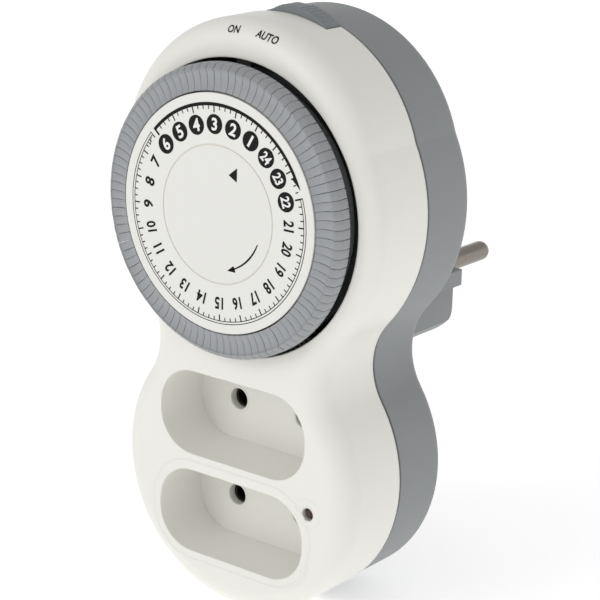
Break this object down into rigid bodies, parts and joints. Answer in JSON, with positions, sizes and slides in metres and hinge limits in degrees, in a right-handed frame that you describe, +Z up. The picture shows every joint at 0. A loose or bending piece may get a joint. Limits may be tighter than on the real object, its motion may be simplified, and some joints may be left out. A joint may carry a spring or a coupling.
{
  "type": "plug-in segment timer",
  "caption": "Mechanical day timer that plugs into a wall socket and switches two recessed outlets by a turning dial with push-in time segments.",
  "frame": {"origin": "midway between the two plug pins, on the end face of the plug", "axes": "+Y into the wall along the plug pins, +Z up from the sockets to the dial, +X to the right seen from the front"},
  "size_m": [0.0742, 0.092, 0.1371],
  "materials": {
    "casing_white": "satin",
    "casing_grey": "satin",
    "screw_steel": "zinc plated",
    "pin_nickel": "satin nickel",
    "brass_strip": "rolled",
    "plate_plastic": "matt",
    "dial_white": "satin, printed",
    "motor_steel": "brushed",
    "coil_copper": "enamelled wire",
    "wire_blue": "insulated wire",
    "switch_black": "matt",
    "lamp_amber": "tinted",
    "drum_plastic": "matt",
    "ring_grey": "satin",
    "gear_brass": "cut",
    "gear_nylon": "matt",
    "slider_grey": "satin",
    "plunger_red": "gloss"
  },
  "bodies": {
    "case": {"front_casing": "casing_white", "rear_casing": "casing_grey", "case_screws": "screw_steel", "plug_pins": "pin_nickel", "live_strip": "brass_strip", "neutral_strip": "brass_strip", "socket_contacts": "brass_strip", "load_bus": "brass_strip", "neutral_bus": "brass_strip", "mechanism_plate": "plate_plastic", "motor_screws": "screw_steel", "centre_cap": "dial_white", "motor_can": "motor_steel", "motor_coil": "coil_copper", "motor_plate": "motor_steel", "motor_leads": "wire_blue", "gear_arbor": "motor_steel", "switch_body": "switch_black", "lever_pin": "motor_steel", "pilot_lamp": "lamp_amber"},
    "dial": {"dial_face": "dial_white", "dial_drum": "drum_plastic", "segment_carrier": "ring_grey"},
    "segments_00": {"segments_00": "ring_grey"},
    "segments_01": {"segments_01": "ring_grey"},
    "segments_02": {"segments_02": "ring_grey"},
    "segments_03": {"segments_03": "ring_grey"},
    "segments_04": {"segments_04": "ring_grey"},
    "segments_05": {"segments_05": "ring_grey"},
    "segments_06": {"segments_06": "ring_grey"},
    "segments_07": {"segments_07": "ring_grey"},
    "segments_08": {"segments_08": "ring_grey"},
    "segments_09": {"segments_09": "ring_grey"},
    "segments_10": {"segments_10": "ring_grey"},
    "segments_11": {"segments_11": "ring_grey"},
    "segments_12": {"segments_12": "ring_grey"},
    "segments_13": {"segments_13": "ring_grey"},
    "segments_14": {"segments_14": "ring_grey"},
    "segments_15": {"segments_15": "ring_grey"},
    "segments_16": {"segments_16": "ring_grey"},
    "segments_17": {"segments_17": "ring_grey"},
    "segments_18": {"segments_18": "ring_grey"},
    "segments_19": {"segments_19": "ring_grey"},
    "segments_20": {"segments_20": "ring_grey"},
    "segments_21": {"segments_21": "ring_grey"},
    "segments_22": {"segments_22": "ring_grey"},
    "segments_23": {"segments_23": "ring_grey"},
    "reduction_gear": {"reduction_wheel": "gear_nylon", "reduction_pinion": "gear_brass"},
    "motor_gear": {"motor_pinion": "gear_brass"},
    "slider": {"mode_slider": "slider_grey"},
    "lever": {"switch_lever": "gear_nylon"},
    "plunger": {"switch_plunger": "plunger_red"}
  },
  "joints": [
    {"name": "dial_turn", "type": "hinge", "parent": "case", "child": "dial", "pos_m": [0, -0.073, 0.0246], "axis": [0, 1, 0], "continuous": true},
    {"name": "reduction_turn", "type": "hinge", "parent": "case", "child": "reduction_gear", "pos_m": [0, -0.053, -0.0019], "axis": [0, 1, 0], "continuous": true},
    {"name": "motor_turn", "type": "hinge", "parent": "case", "child": "motor_gear", "pos_m": [-0.00804, -0.05, 0.00768], "axis": [0, 1, 0], "continuous": true},
    {"name": "mode_slide", "type": "hinge", "parent": "case", "child": "slider", "pos_m": [0, -0.05, 0.0313], "axis": [0, -1, 0], "range_deg": [0, 15]},
    {"name": "lever_tilt", "type": "hinge", "parent": "case", "child": "lever", "pos_m": [0, -0.0604, 0.0604], "axis": [1, 0, 0], "range_deg": [0, 10]},
    {"name": "plunger_move", "type": "slide", "parent": "case", "child": "plunger", "axis": [0, 0, 1], "range_m": [0, 0.0012], "stiffness_N_per_m": 50},
    {"name": "segments_00_push", "type": "slide", "parent": "dial", "child": "segments_00", "axis": [0, 1, 0], "range_m": [0, 0.003]},
    {"name": "segments_01_push", "type": "slide", "parent": "dial", "child": "segments_01", "axis": [0, 1, 0], "range_m": [0, 0.003]},
    {"name": "segments_02_push", "type": "slide", "parent": "dial", "child": "segments_02", "axis": [0, 1, 0], "range_m": [0, 0.003]},
    {"name": "segments_03_push", "type": "slide", "parent": "dial", "child": "segments_03", "axis": [0, 1, 0], "range_m": [0, 0.003]},
    {"name": "segments_04_push", "type": "slide", "parent": "dial", "child": "segments_04", "axis": [0, 1, 0], "range_m": [0, 0.003]},
    {"name": "segments_05_push", "type": "slide", "parent": "dial", "child": "segments_05", "axis": [0, 1, 0], "range_m": [0, 0.003]},
    {"name": "segments_06_push", "type": "slide", "parent": "dial", "child": "segments_06", "axis": [0, 1, 0], "range_m": [0, 0.003]},
    {"name": "segments_07_push", "type": "slide", "parent": "dial", "child": "segments_07", "axis": [0, 1, 0], "range_m": [0, 0.003]},
    {"name": "segments_08_push", "type": "slide", "parent": "dial", "child": "segments_08", "axis": [0, 1, 0], "range_m": [0, 0.003]},
    {"name": "segments_09_push", "type": "slide", "parent": "dial", "child": "segments_09", "axis": [0, 1, 0], "range_m": [0, 0.003]},
    {"name": "segments_10_push", "type": "slide", "parent": "dial", "child": "segments_10", "axis": [0, 1, 0], "range_m": [0, 0.003]},
    {"name": "segments_11_push", "type": "slide", "parent": "dial", "child": "segments_11", "axis": [0, 1, 0], "range_m": [0, 0.003]},
    {"name": "segments_12_push", "type": "slide", "parent": "dial", "child": "segments_12", "axis": [0, 1, 0], "range_m": [0, 0.003]},
    {"name": "segments_13_push", "type": "slide", "parent": "dial", "child": "segments_13", "axis": [0, 1, 0], "range_m": [0, 0.003]},
    {"name": "segments_14_push", "type": "slide", "parent": "dial", "child": "segments_14", "axis": [0, 1, 0], "range_m": [0, 0.003]},
    {"name": "segments_15_push", "type": "slide", "parent": "dial", "child": "segments_15", "axis": [0, 1, 0], "range_m": [0, 0.003]},
    {"name": "segments_16_push", "type": "slide", "parent": "dial", "child": "segments_16", "axis": [0, 1, 0], "range_m": [0, 0.003]},
    {"name": "segments_17_push", "type": "slide", "parent": "dial", "child": "segments_17", "axis": [0, 1, 0], "range_m": [0, 0.003]},
    {"name": "segments_18_push", "type": "slide", "parent": "dial", "child": "segments_18", "axis": [0, 1, 0], "range_m": [0, 0.003]},
    {"name": "segments_19_push", "type": "slide", "parent": "dial", "child": "segments_19", "axis": [0, 1, 0], "range_m": [0, 0.003]},
    {"name": "segments_20_push", "type": "slide", "parent": "dial", "child": "segments_20", "axis": [0, 1, 0], "range_m": [0, 0.003]},
    {"name": "segments_21_push", "type": "slide", "parent": "dial", "child": "segments_21", "axis": [0, 1, 0], "range_m": [0, 0.003]},
    {"name": "segments_22_push", "type": "slide", "parent": "dial", "child": "segments_22", "axis": [0, 1, 0], "range_m": [0, 0.003]},
    {"name": "segments_23_push", "type": "slide", "parent": "dial", "child": "segments_23", "axis": [0, 1, 0], "range_m": [0, 0.003]}
  ],
  "couplings": [
    {"joint": "reduction_turn", "follows": "dial_turn", "ratio": -9.6},
    {"joint": "motor_turn", "follows": "dial_turn", "ratio": 38.4},
    {"joint": "lever_tilt", "follows": "plunger_move", "rad_per_m": 145}
  ]
}
